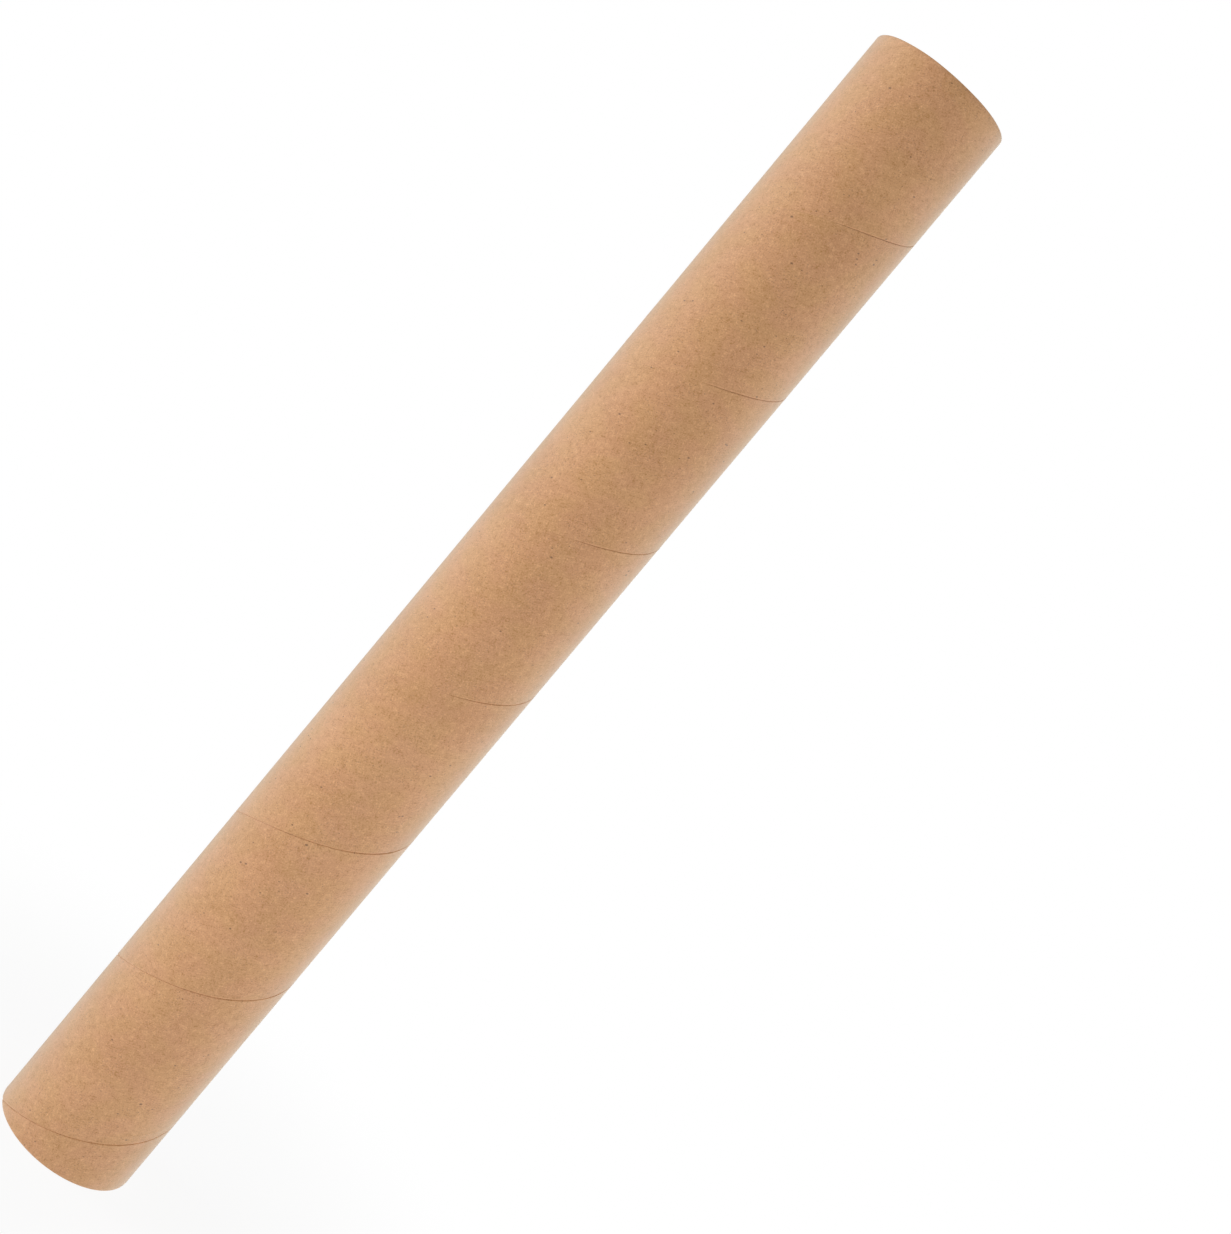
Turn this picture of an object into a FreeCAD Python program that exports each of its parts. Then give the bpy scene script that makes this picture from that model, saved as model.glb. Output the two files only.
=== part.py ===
import FreeCAD, Part
import math
import os

from FreeCAD import Vector

# a spiral wound card mailing tube, standing on its lower end, sizes in mm
outer_diameter = 46.0
wall_thickness = 1.5
length = 400.0

# the outside paper is one strip wound upwards in a right-handed helix
ply_width = 52.5
ply_thickness = 0.35
seam_gap = 0.5
seam_height_at_front = 11.0

# the four edges of the cut ends are slightly broken
outer_edge_break = 0.25
bore_edge_break = 0.25

# how far the seam cutters stand clear of the wall, and how many degrees each runs into the next
cutter_clearance = 0.6
cutter_overlap = 6.0
# every second cutter is this much smaller, so that no two of their faces lie on each other
cutter_easing = 0.01


def winding_pitch():
    """Height gained in one turn, so that a strip of this width just closes on itself."""
    girth = math.pi * outer_diameter
    return ply_width / math.sqrt(1.0 - (ply_width / girth) ** 2)


def wall_section():
    """Half section of the wall in the XZ plane, with its four corners broken."""
    outside = outer_diameter / 2.0
    inside = outside - wall_thickness
    a = outer_edge_break
    b = bore_edge_break
    corners = [
        (inside + b, 0.0),
        (outside - a, 0.0),
        (outside, a),
        (outside, length - a),
        (outside - a, length),
        (inside + b, length),
        (inside, length - b),
        (inside, b),
        (inside + b, 0.0),
    ]
    points = [Vector(radius, 0.0, height) for radius, height in corners]
    return Part.Face(Part.makePolygon(points))


def plain_tube():
    """The wall before its seam is cut, with its closing line turned away from the cutters' ends."""
    tube = wall_section().revolve(Vector(0, 0, 0), Vector(0, 0, 1), 360.0)
    tube.rotate(Vector(0, 0, 0), Vector(0, 0, 1), 90.0)
    return tube


def seam_profile(easing):
    """Section of the cutter: as deep as one ply, and a little wider at the top than at the floor."""
    outside = outer_diameter / 2.0
    lead = math.atan2(winding_pitch(), math.pi * outer_diameter)
    half_top = 0.5 * seam_gap / math.cos(lead) - easing
    half_floor = 0.7 * half_top
    floor = outside - ply_thickness + easing
    rim = outside + cutter_clearance
    spread = half_top + (half_top - half_floor) * cutter_clearance / ply_thickness
    return Part.makePolygon([
        Vector(floor, 0.0, -half_floor),
        Vector(floor, 0.0, half_floor),
        Vector(rim, 0.0, spread),
        Vector(rim, 0.0, -spread),
        Vector(floor, 0.0, -half_floor),
    ])


def half_turn_cutter(easing):
    """Half a turn of the seam, lengthened at both ends so that it runs into its neighbours."""
    pitch = winding_pitch()
    extra = cutter_overlap / 360.0
    helix = Part.makeHelix(pitch, pitch * (0.5 + 2.0 * extra), outer_diameter / 2.0)
    cutter = Part.Wire([helix]).makePipeShell([seam_profile(easing)], True, True)
    cutter.rotate(Vector(0, 0, 0), Vector(0, 0, 1), -cutter_overlap)
    cutter.translate(Vector(0.0, 0.0, -pitch * extra))
    return cutter


def seam_cutters(side):
    """All the half turns on one side of the tube: side 0 starts on +X, side 1 on -X."""
    pitch = winding_pitch()
    pattern = half_turn_cutter(cutter_easing * side)
    pattern.rotate(Vector(0, 0, 0), Vector(0, 0, 1), 180.0 * side)

    # +X is a quarter turn on from the front, and the first cutter is at least a turn below the tube
    start = (seam_height_at_front + 0.25 * pitch) % pitch - 2.0 * pitch
    cutters = []
    for turn in range(math.ceil(length / pitch) + 3):
        cutter = pattern.copy()
        cutter.translate(Vector(0.0, 0.0, start + pitch * (turn + 0.5 * side)))
        if cutter.BoundBox.ZMax > 0.0 and cutter.BoundBox.ZMin < length:
            cutters.append(cutter)
    return cutters


def make_tube():
    tube = plain_tube()
    for side in (0, 1):
        tube = tube.cut(seam_cutters(side))
    return tube.Solids[0] if len(tube.Solids) == 1 else tube


os.makedirs("parts", exist_ok=True)
make_tube().exportStep("parts/tube.step")
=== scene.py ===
import math

import bpy
from mathutils import Matrix, Vector, noise


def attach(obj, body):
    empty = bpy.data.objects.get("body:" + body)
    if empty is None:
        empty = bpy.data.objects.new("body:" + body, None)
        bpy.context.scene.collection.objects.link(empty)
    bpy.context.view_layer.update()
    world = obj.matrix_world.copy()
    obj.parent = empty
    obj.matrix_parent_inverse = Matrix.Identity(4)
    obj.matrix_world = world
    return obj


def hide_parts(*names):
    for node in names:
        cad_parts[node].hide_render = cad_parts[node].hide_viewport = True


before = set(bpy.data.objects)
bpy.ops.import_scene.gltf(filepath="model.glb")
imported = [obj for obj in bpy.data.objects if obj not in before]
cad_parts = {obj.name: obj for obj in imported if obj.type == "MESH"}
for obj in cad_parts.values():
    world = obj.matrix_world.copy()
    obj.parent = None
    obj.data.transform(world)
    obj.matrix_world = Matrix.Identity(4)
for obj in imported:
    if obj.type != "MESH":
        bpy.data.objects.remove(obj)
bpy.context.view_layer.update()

# sizes of the tube in mm, in the row frame: it stands on its lower end, axis on Z, front towards -Y
MM = 0.001
LENGTH = 400.0
OUTSIDE = 23.0
BORE = 21.5
PLY = 0.35
PLY_WIDTH = 52.5
SEAM_GAP = 0.5
SEAM_AT_FRONT = 11.0
GIRTH = 2.0 * math.pi * OUTSIDE
PITCH = PLY_WIDTH / math.sqrt(1.0 - (PLY_WIDTH / GIRTH) ** 2)
LEAD = math.atan2(PITCH, GIRTH)

# the paper surface lies a hair inside the solid, so that its ridges stay within it
SKIN = OUTSIDE - 0.07
COLUMNS = 224

# the cut ends: how low the rim's edge begins, how far it steps in, and how uneven the upper cut is
RIM_BREAK = 0.3
RIM_STEP = 0.1
BORE_STEP = 0.14
TOP_DROP = 0.15
TOP_WAVE = 0.12
END_RINGS = 6

# kraft colours as seen in a picture, 0 to 255
OUTER_BASE = (198, 146, 101)
OUTER_PALE = (223, 171, 123)
OUTER_DEEP = (166, 113, 56)
INNER_BASE = (186, 138, 98)
INNER_PALE = (200, 154, 114)
INNER_DEEP = (166, 120, 82)


def smooth(low, high, x):
    """0 below low, 1 above high and a soft S between them."""
    t = min(1.0, max(0.0, (x - low) / (high - low)))
    return t * t * (3.0 - 2.0 * t)


def ridge(distance, width):
    """A rounded ridge of height 1 where distance is 0."""
    return math.exp(-((distance / width) ** 2))


def wander(theta, height, turns, rate, seed):
    """Slow, repeatable noise round and along the tube, between about -1 and 1."""
    where = Vector((turns * math.cos(theta), turns * math.sin(theta), height * rate + 17.3 * seed))
    return noise.noise(where)


def seam_strength(theta, height):
    """How open the seam is: it gapes low down and closes up higher on the tube's front left."""
    left = smooth(0.3, 0.9, math.cos(theta + 2.4))
    closed = smooth(130.0, 190.0, height) * (0.15 + 0.65 * left) + 0.2 * left
    uneven = 0.22 * wander(theta, height, 2.2, 0.16, 8) + 0.12 * wander(theta, height, 7.0, 0.3, 9)
    return max(0.03, 0.75 - closed + uneven)


def plies_below(across, height):
    """Faint ridges where the edges of the plies underneath show through the outside paper."""
    low_end = 0.05 * ridge(across - 3.2, 0.35) * (1.0 - smooth(40.0, 70.0, height))
    first = 0.045 * ridge(across - 10.5, 0.45)
    second = 0.035 * ridge(across - 19.5, 0.45)
    late = smooth(240.0, 285.0, height)
    return low_end + late * (first + second)


def outer_radius(across, theta, height):
    """Radius of the outside at a distance across the strip, measured up from the seam's middle."""
    half_top = 0.5 * SEAM_GAP / math.cos(LEAD)
    strength = seam_strength(theta, height)
    gap = half_top * (0.4 + 0.6 * strength)
    beside = min(across, PITCH - across)
    lip = 0.035 * strength * ridge(beside - gap - 0.3, 0.35)
    waves = 0.02 * wander(theta, height, 1.3, 0.05, 1) + 0.012 * wander(theta, height, 5.0, 0.16, 2)
    radius = SKIN + waves + lip + plies_below(across, height)
    if beside < gap:
        floor = PLY * min(1.0, 0.05 + 0.95 * strength)
        radius -= floor * (1.0 - smooth(0.6 * gap, gap, beside))
    return min(radius, OUTSIDE - 0.001)


def surface_radius(theta, height):
    """Radius of the outside at a place on the tube."""
    base = SEAM_AT_FRONT + PITCH * (0.25 + theta / (2.0 * math.pi))
    return outer_radius((height - base) % PITCH, theta, height)


def row_offsets():
    """Heights of the mesh rows within one turn of the strip, crowded together beside the seam."""
    half_top = 0.5 * SEAM_GAP / math.cos(LEAD)
    near = [0.0, 0.35 * half_top, 0.55 * half_top, 0.8 * half_top, half_top, 0.36, 0.48, 0.65, 0.9, 1.4]
    low = near + [2.2, 2.8, 3.2, 3.6, 4.4, 6.0, 8.0, 9.6, 10.1, 10.5, 10.9, 11.4, 13.0, 15.5, 18.4]
    low += [19.1, 19.5, 19.9, 20.6, 23.0, 26.0, 29.0, 32.0, 35.0, 38.0, 41.0, 44.0, 47.0, 50.0, 52.5]
    high = [PITCH - x for x in reversed(near[1:])]
    return low + high


def build_columns(rows, place, low_end, high_end):
    """Vertices in upright columns whose rows climb one pitch a turn, clipped at two uneven heights."""
    verts, ids, spans = [], {}, []
    per_turn = len(rows)
    turns = range(-2, int(LENGTH / PITCH) + 3)
    for i in range(COLUMNS):
        theta = 2.0 * math.pi * i / COLUMNS
        base = SEAM_AT_FRONT + PITCH * (0.25 + i / COLUMNS)
        low, high = low_end(theta), high_end(theta)
        inside = []
        for turn in turns:
            for k, offset in enumerate(rows):
                z = base + PITCH * turn + offset
                if low + 0.03 < z < high - 0.03:
                    inside.append((turn * per_turn + k, z, offset))
        for key, z, offset in inside:
            ids[(i, key)] = len(verts)
            verts.append(place(theta, z, offset))
        first, last = inside[0][0], inside[-1][0]
        for name, z in (("low", low), ("high", high)):
            offset = (z - base) % PITCH
            ids[(i, name)] = len(verts)
            verts.append(place(theta, z, offset))
        spans.append((first, last))
    return verts, ids, spans


def make_mesh():
    """The whole wall as one closed mesh: outside, both cut ends and the bore."""
    rows = row_offsets()
    per_turn = len(rows)

    def low_end(theta):
        return 0.0

    def high_end(theta):
        return LENGTH - TOP_DROP + TOP_WAVE * wander(theta, 0.0, 2.0, 0.0, 5)

    def place(theta, z, offset):
        r = outer_radius(offset, theta, z)
        return Vector((r * math.cos(theta), r * math.sin(theta), z)) * MM

    def low_clip(theta):
        return low_end(theta) + RIM_BREAK

    def high_clip(theta):
        return high_end(theta) - RIM_BREAK

    verts, ids, spans = build_columns(rows, place, low_clip, high_clip)

    def vertex(i, key):
        if i == COLUMNS:
            i, key = 0, key + per_turn
        first, last = spans[i]
        if key < first:
            return ids[(i, "low")]
        if key > last:
            return ids[(i, "high")]
        return ids[(i, key)]

    faces, slots, coords = [], [], []

    def add(corners, slot, uvs):
        kept, kept_uv = [], []
        for v, uv in zip(corners, uvs):
            if v not in kept:
                kept.append(v)
                kept_uv.append(uv)
        if len(kept) >= 3:
            faces.append(kept)
            slots.append(slot)
            coords.append(kept_uv)

    def ply_uv(i, v, turn):
        """Millimetres along and across the wound strip, so that the paper's grain breaks at the seam."""
        wound = turn + i / COLUMNS
        rise = verts[v].z / MM - SEAM_AT_FRONT - PITCH * (0.25 + wound)
        return (GIRTH * wound / math.cos(LEAD) + rise * math.sin(LEAD), rise * math.cos(LEAD))

    for i in range(COLUMNS):
        near, far = spans[i], spans[(i + 1) % COLUMNS]
        shift = per_turn if i == COLUMNS - 1 else 0
        start = min(near[0], far[0] - shift) - 1
        stop = max(near[1], far[1] - shift) + 1
        for key in range(start, stop):
            corners = [vertex(i, key), vertex(i + 1, key), vertex(i + 1, key + 1), vertex(i, key + 1)]
            turn = key // per_turn
            uvs = [ply_uv(i + side, v, turn) for v, side in zip(corners, (0, 1, 1, 0))]
            add(corners, 0, uvs)

    # the rims, the cut ends and the bore are rings, joined to the two ends of the columns
    def ring(radius, height):
        start = len(verts)
        for i in range(COLUMNS):
            theta = 2.0 * math.pi * i / COLUMNS
            z = height(theta)
            r = radius(theta, z)
            verts.append(Vector((r * math.cos(theta), r * math.sin(theta), z)) * MM)
        return [start + i for i in range(COLUMNS)]

    def band(lower, upper, slot, scale):
        for i in range(COLUMNS):
            k = (i + 1) % COLUMNS
            corners = [lower[i], lower[k], upper[k], upper[i]]
            uvs = []
            for v, step in zip(corners, (i, i + 1, i + 1, i)):
                co = verts[v]
                uvs.append((GIRTH * step / COLUMNS, scale(co)))
            add(corners, slot, uvs)

    def radial(co):
        return math.hypot(co.x, co.y) / MM

    def upright(co):
        return co.z / MM

    def bore_radius(theta, z):
        return BORE + 0.02 + 0.018 * wander(theta, z, 1.5, 0.04, 3)

    def rim_radius(theta, z):
        return surface_radius(theta, z) - RIM_STEP

    low_rim = ring(rim_radius, low_end)
    high_rim = ring(rim_radius, high_end)
    band(low_rim, [ids[(i, "low")] for i in range(COLUMNS)], 0, upright)
    band([ids[(i, "high")] for i in range(COLUMNS)], high_rim, 0, upright)

    low_rings, high_rings = [low_rim], [high_rim]
    for step in range(1, END_RINGS + 1):
        share = step / END_RINGS
        edge = SKIN - RIM_STEP + (BORE + BORE_STEP - SKIN + RIM_STEP) * share
        dip = 0.05 * math.sin(math.pi * share)

        def radius(theta, z, edge=edge, share=share):
            return edge + 0.02 * wander(theta, 4.0 * share, 9.0, 1.0, 6)

        low_rings.append(ring(radius, lambda theta, dip=dip: low_end(theta) + 0.02 * dip))
        high_rings.append(ring(radius, lambda theta, dip=dip: high_end(theta) - dip))
    for a, b in zip(low_rings, low_rings[1:]):
        band(b, a, 1, radial)
    for a, b in zip(high_rings, high_rings[1:]):
        band(a, b, 1, radial)

    bore_rings = [low_rings[-1]]
    heights = [0.15, 0.5] + [8.0 * k for k in range(1, 50)] + [LENGTH - 0.8, LENGTH - 0.45]
    for z in heights:
        bore_rings.append(ring(bore_radius, lambda theta, z=z: z))
    bore_rings.append(high_rings[-1])
    for a, b in zip(bore_rings, bore_rings[1:]):
        band(b, a, 2, upright)

    mesh = bpy.data.meshes.new("tube_wall")
    mesh.from_pydata([tuple(v) for v in verts], [], faces)
    layer = mesh.uv_layers.new(name="ply")
    for face, slot, uvs in zip(mesh.polygons, slots, coords):
        face.material_index = slot
        face.use_smooth = True
        for loop, uv in zip(face.loop_indices, uvs):
            layer.data[loop].uv = uv
    # the corners between the wall, the cut ends and the bore stay crisp
    rims = [set(rim) for rim in (low_rim, high_rim, low_rings[-1], high_rings[-1])]
    for edge in mesh.edges:
        a, b = edge.vertices
        edge.use_edge_sharp = any(a in rim and b in rim for rim in rims)
    mesh.validate()
    return mesh


def srgb(r, g, b):
    """A colour as seen in a picture, 0 to 255, as the linear values a shader takes."""
    out = []
    for value in (r, g, b):
        c = value / 255.0
        out.append(c / 12.92 if c <= 0.04045 else ((c + 0.055) / 1.055) ** 2.4)
    return (out[0], out[1], out[2], 1.0)


class Nodes:
    """Short hands for building a material's node tree."""

    def __init__(self, name):
        self.material = bpy.data.materials.new(name)
        self.material.use_nodes = True
        self.tree = self.material.node_tree
        self.tree.nodes.clear()

    def add(self, kind, **inputs):
        node = self.tree.nodes.new(kind)
        for key, value in inputs.items():
            self.put(node, key.replace("_", " "), value)
        return node

    def put(self, node, socket, value):
        if isinstance(value, bpy.types.NodeSocket):
            self.tree.links.new(value, node.inputs[socket])
        else:
            node.inputs[socket].default_value = value

    def math(self, operation, a, b=0.0, clamp=False):
        node = self.tree.nodes.new("ShaderNodeMath")
        node.operation = operation
        node.use_clamp = clamp
        self.put(node, 0, a)
        self.put(node, 1, b)
        return node.outputs[0]

    def mix(self, factor, a, b, blend="MIX"):
        node = self.tree.nodes.new("ShaderNodeMix")
        node.data_type = "RGBA"
        node.blend_type = blend
        node.clamp_factor = True
        self.put(node, 0, factor)
        self.put(node, 6, a)
        self.put(node, 7, b)
        return node.outputs[2]

    def noise(self, where, scale, detail=2.0, rough=0.5):
        node = self.add("ShaderNodeTexNoise", Vector=where, Scale=scale, Detail=detail, Roughness=rough)
        return node.outputs["Fac"]

    def ramp(self, value, low, high):
        node = self.tree.nodes.new("ShaderNodeMapRange")
        node.interpolation_type = "SMOOTHSTEP"
        self.put(node, 0, value)
        self.put(node, 1, low)
        self.put(node, 2, high)
        return node.outputs[0]

    def spots(self, where, squeeze, scale, size, flat):
        """1 inside small scattered spots of that size, as a share of their spacing, and 0 outside."""
        cells = self.tree.nodes.new("ShaderNodeTexVoronoi")
        cells.voronoi_dimensions = "2D" if flat else "3D"
        self.put(cells, "Vector", self.stretch(where, 1.0, squeeze, 1.0))
        self.put(cells, "Scale", scale)
        size = self.math("MAXIMUM", size, 0.002)
        inner = self.math("MULTIPLY", size, 0.5)
        return self.math("SUBTRACT", 1.0, self.ramp(cells.outputs["Distance"], inner, size))

    def stretch(self, where, x, y, z):
        node = self.tree.nodes.new("ShaderNodeMapping")
        self.put(node, "Vector", where)
        self.put(node, "Scale", (x, y, z))
        return node.outputs[0]


def strip_place(n):
    """Millimetres along and across the wound strip."""
    uv = n.add("ShaderNodeUVMap")
    uv.uv_map = "ply"
    return uv.outputs[0]


def solid_place(n):
    """Millimetres in the row frame, for surfaces with no strip of their own."""
    return n.stretch(n.add("ShaderNodeTexCoord").outputs["Object"], 1000.0, 1000.0, 1000.0)


def paper(name, place, base, light, dark, speck_amount, bump_height):
    """Kraft paper: soft cloudy mottling, fine fibres, and a scatter of dark flecks and specks."""
    n = Nodes(name)
    where = place(n)
    flat = place is strip_place
    cloud = n.noise(n.stretch(where, 0.035, 0.05, 0.05), 1.0, 2.0, 0.5)
    tint = n.noise(n.stretch(where, 0.1, 0.14, 0.14), 1.0, 0.0, 0.5)
    mottle = n.noise(where, 0.42, 3.0, 0.65)
    fibre = n.noise(n.stretch(where, 0.6, 1.9, 1.9), 1.0, 3.0, 0.7)
    hair = n.noise(n.stretch(where, 1.9, 0.7, 0.7), 1.0, 3.0, 0.7)
    grain = n.noise(where, 2.2, 3.0, 0.75)

    colour = n.mix(n.ramp(cloud, 0.25, 0.75), srgb(*dark), srgb(*light))
    colour = n.mix(0.85, colour, srgb(*base))
    warm = n.ramp(tint, 0.35, 0.65)
    colour = n.mix(1.0, colour, n.mix(warm, (1.01, 0.993, 1.03, 1.0), (0.99, 1.007, 0.95, 1.0)), "MULTIPLY")
    fine = n.math("ADD", n.math("MULTIPLY", mottle, 0.2), n.math("MULTIPLY", fibre, 0.2))
    fine = n.math("ADD", fine, n.math("MULTIPLY", hair, 0.2))
    fine = n.math("ADD", fine, n.math("MULTIPLY", grain, 0.4))
    pale = n.ramp(fine, 0.5, 0.62)
    deep = n.ramp(fine, 0.5, 0.38)
    colour = n.mix(n.math("MULTIPLY", pale, 0.9), colour, srgb(*light))
    colour = n.mix(deep, colour, srgb(*dark))

    crowd = n.ramp(n.noise(where, 0.13, 2.0), 0.42, 0.62)
    fleck = n.spots(where, 1.4, 0.75, n.math("MULTIPLY", n.noise(where, 0.7, 1.0), 0.38), flat)
    colour = n.mix(n.math("MULTIPLY", n.math("MULTIPLY", fleck, crowd), 0.5), colour, srgb(150, 106, 72))
    chance = n.math("SUBTRACT", n.noise(where, 0.12, 1.0), 0.48)
    speck = n.spots(where, 1.5, 0.16, n.math("MULTIPLY", chance, 0.4), flat)
    colour = n.mix(n.math("MULTIPLY", speck, speck_amount), colour, srgb(112, 76, 50))

    height = n.math("ADD", n.math("MULTIPLY", fibre, 0.6), n.math("MULTIPLY", hair, 0.4))
    height = n.math("ADD", height, n.math("MULTIPLY", grain, 0.3))
    bump = n.add("ShaderNodeBump", Strength=0.5, Distance=bump_height, Height=height)
    shader = n.add("ShaderNodeBsdfPrincipled", Base_Color=colour, Roughness=0.6, Normal=bump.outputs[0])
    n.put(shader, "IOR", 1.42)
    n.put(shader, "Sheen Weight", 1.0)
    n.put(shader, "Sheen Roughness", 0.5)
    n.put(shader, "Sheen Tint", (1.0, 0.92, 0.78, 1.0))
    out = n.add("ShaderNodeOutputMaterial")
    n.put(out, "Surface", shader.outputs[0])
    return n.material


def cut_edge(name):
    """The sawn ends: fine rings where the plies meet, pale fuzz and darker glue lines."""
    n = Nodes(name)
    where = strip_place(n)
    parts = n.add("ShaderNodeSeparateXYZ", Vector=where)
    depth = n.math("MULTIPLY", n.math("SUBTRACT", parts.outputs[1], BORE), 1.0 / PLY)
    line = n.math("FRACT", n.math("ADD", depth, n.math("MULTIPLY", n.noise(where, 0.35, 2.0), 0.25)))
    glue = n.math("LESS_THAN", line, 0.2)
    fuzz = n.noise(n.stretch(where, 2.5, 6.0, 1.0), 1.0, 4.0, 0.65)
    colour = n.mix(n.ramp(fuzz, 0.35, 0.68), srgb(168, 124, 84), srgb(214, 176, 136))
    colour = n.mix(n.math("MULTIPLY", glue, 0.5), colour, srgb(132, 92, 60))
    bump = n.add("ShaderNodeBump", Strength=0.6, Distance=0.00015, Height=fuzz)
    shader = n.add("ShaderNodeBsdfPrincipled", Base_Color=colour, Roughness=0.92, Normal=bump.outputs[0])
    out = n.add("ShaderNodeOutputMaterial")
    n.put(out, "Surface", shader.outputs[0])
    return n.material


def make_tube():
    mesh = make_mesh()
    outside = paper("kraft_outside", strip_place, OUTER_BASE, OUTER_PALE, OUTER_DEEP, 0.8, 0.00022)
    inside = paper("kraft_inside", solid_place, INNER_BASE, INNER_PALE, INNER_DEEP, 0.9, 0.00016)
    for material in (outside, cut_edge("kraft_cut_edge"), inside):
        mesh.materials.append(material)
    tube = bpy.data.objects.new("tube_wall", mesh)
    bpy.context.scene.collection.objects.link(tube)
    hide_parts("tube")
    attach(tube, "root")
    return tube


def make_floor():
    """A white floor that keeps the tube's shadow near it and runs into the white surround further out."""
    size = 3.0
    near_glow = 0.92
    mesh = bpy.data.meshes.new("floor")
    corners = [(-size, -size, 0.0), (size, -size, 0.0), (size, size, 0.0), (-size, size, 0.0)]
    mesh.from_pydata(corners, [], [(0, 1, 2, 3)])
    n = Nodes("floor_white")
    place = n.add("ShaderNodeTexCoord").outputs["Object"]
    reach = n.add("ShaderNodeVectorMath", Vector=place)
    reach.operation = "LENGTH"
    away = n.ramp(reach.outputs["Value"], 0.04, 0.2)
    diffuse = n.add("ShaderNodeBsdfDiffuse", Color=(0.9, 0.9, 0.9, 1.0))
    glow = n.add("ShaderNodeEmission", Color=(1.0, 1.0, 1.0, 1.0), Strength=1.0)
    blend = n.add("ShaderNodeMixShader")
    glow_share = n.math("ADD", n.math("MULTIPLY", away, 1.0 - near_glow), near_glow)
    n.put(blend, 0, glow_share)
    n.put(blend, 1, diffuse.outputs[0])
    n.put(blend, 2, glow.outputs[0])
    out = n.add("ShaderNodeOutputMaterial")
    n.put(out, "Surface", blend.outputs[0])
    mesh.materials.append(n.material)
    floor = bpy.data.objects.new("floor", mesh)
    bpy.context.scene.collection.objects.link(floor)
    return floor


def make_world():
    """White all round: full white where it is seen or mirrored, a plain fill where it lights the tube."""
    world = bpy.data.worlds.new("white_surround")
    bpy.context.scene.world = world
    world.use_nodes = True
    tree = world.node_tree
    tree.nodes.clear()
    path = tree.nodes.new("ShaderNodeLightPath")
    seen = tree.nodes.new("ShaderNodeBackground")
    seen.inputs["Color"].default_value = (1.0, 1.0, 1.0, 1.0)
    seen.inputs["Strength"].default_value = 1.0
    fill = tree.nodes.new("ShaderNodeBackground")
    fill.inputs["Color"].default_value = (1.0, 1.0, 1.0, 1.0)
    fill.inputs["Strength"].default_value = 0.24
    blend = tree.nodes.new("ShaderNodeMixShader")
    out = tree.nodes.new("ShaderNodeOutputWorld")
    shown = path.outputs["Is Camera Ray"]
    for ray in ("Is Glossy Ray", "Is Transmission Ray"):
        either = tree.nodes.new("ShaderNodeMath")
        either.operation = "MAXIMUM"
        tree.links.new(shown, either.inputs[0])
        tree.links.new(path.outputs[ray], either.inputs[1])
        shown = either.outputs[0]
    tree.links.new(shown, blend.inputs[0])
    tree.links.new(fill.outputs[0], blend.inputs[1])
    tree.links.new(seen.outputs[0], blend.inputs[2])
    tree.links.new(blend.outputs[0], out.inputs[0])


def soft_light(name, azimuth, distance, height, width, tall, power):
    """An upright soft box that faces the tube. Azimuth 0 is the front, 90 the right side."""
    data = bpy.data.lights.new(name, "AREA")
    data.shape = "RECTANGLE"
    data.size = width
    data.size_y = tall
    data.energy = power
    lamp = bpy.data.objects.new(name, data)
    a = math.radians(azimuth)
    lamp.location = (distance * math.sin(a), -distance * math.cos(a), height)
    aim = Vector((0.0, 0.0, 0.2)) - lamp.location
    lamp.rotation_euler = aim.to_track_quat("-Z", "Y").to_euler()
    bpy.context.scene.collection.objects.link(lamp)
    return lamp


def make_lights():
    soft_light("key_left", azimuth=-82.0, distance=0.9, height=0.38, width=0.5, tall=0.8, power=5.0)
    soft_light("rim_right", azimuth=104.0, distance=0.9, height=0.14, width=0.5, tall=0.8, power=3.0)
    soft_light("low_front", azimuth=20.0, distance=0.45, height=0.03, width=0.3, tall=0.15, power=0.8)


def make_camera():
    """The photo's view: level with the upper half of the tube, and rolled so that the tube slants."""
    focal_pixels, picture_pixels = 1800.0, 1234.0
    place = (0.0, -0.522967, 0.268558)
    slant = math.radians(40.102)
    data = bpy.data.cameras.new("photo_view")
    data.sensor_fit = "AUTO"
    data.sensor_width = 36.0
    data.lens = data.sensor_width * focal_pixels / picture_pixels
    data.clip_start = 0.01
    data.clip_end = 20.0
    camera = bpy.data.objects.new("photo_view", data)
    forward = Vector((0.049468, 0.995513, -0.080662)).normalized()
    right = forward.cross(Vector((0.0, 0.0, 1.0))).normalized()
    up = right.cross(forward)
    upright = Matrix((right, up, -forward)).transposed()
    roll = Matrix.Rotation(slant, 3, "Z")
    camera.matrix_world = Matrix.Translation(place) @ (upright @ roll).to_4x4()
    bpy.context.scene.collection.objects.link(camera)
    bpy.context.scene.camera = camera


make_tube()
make_floor()
make_world()
make_lights()
make_camera()
bpy.context.scene.view_settings.view_transform = "Standard"
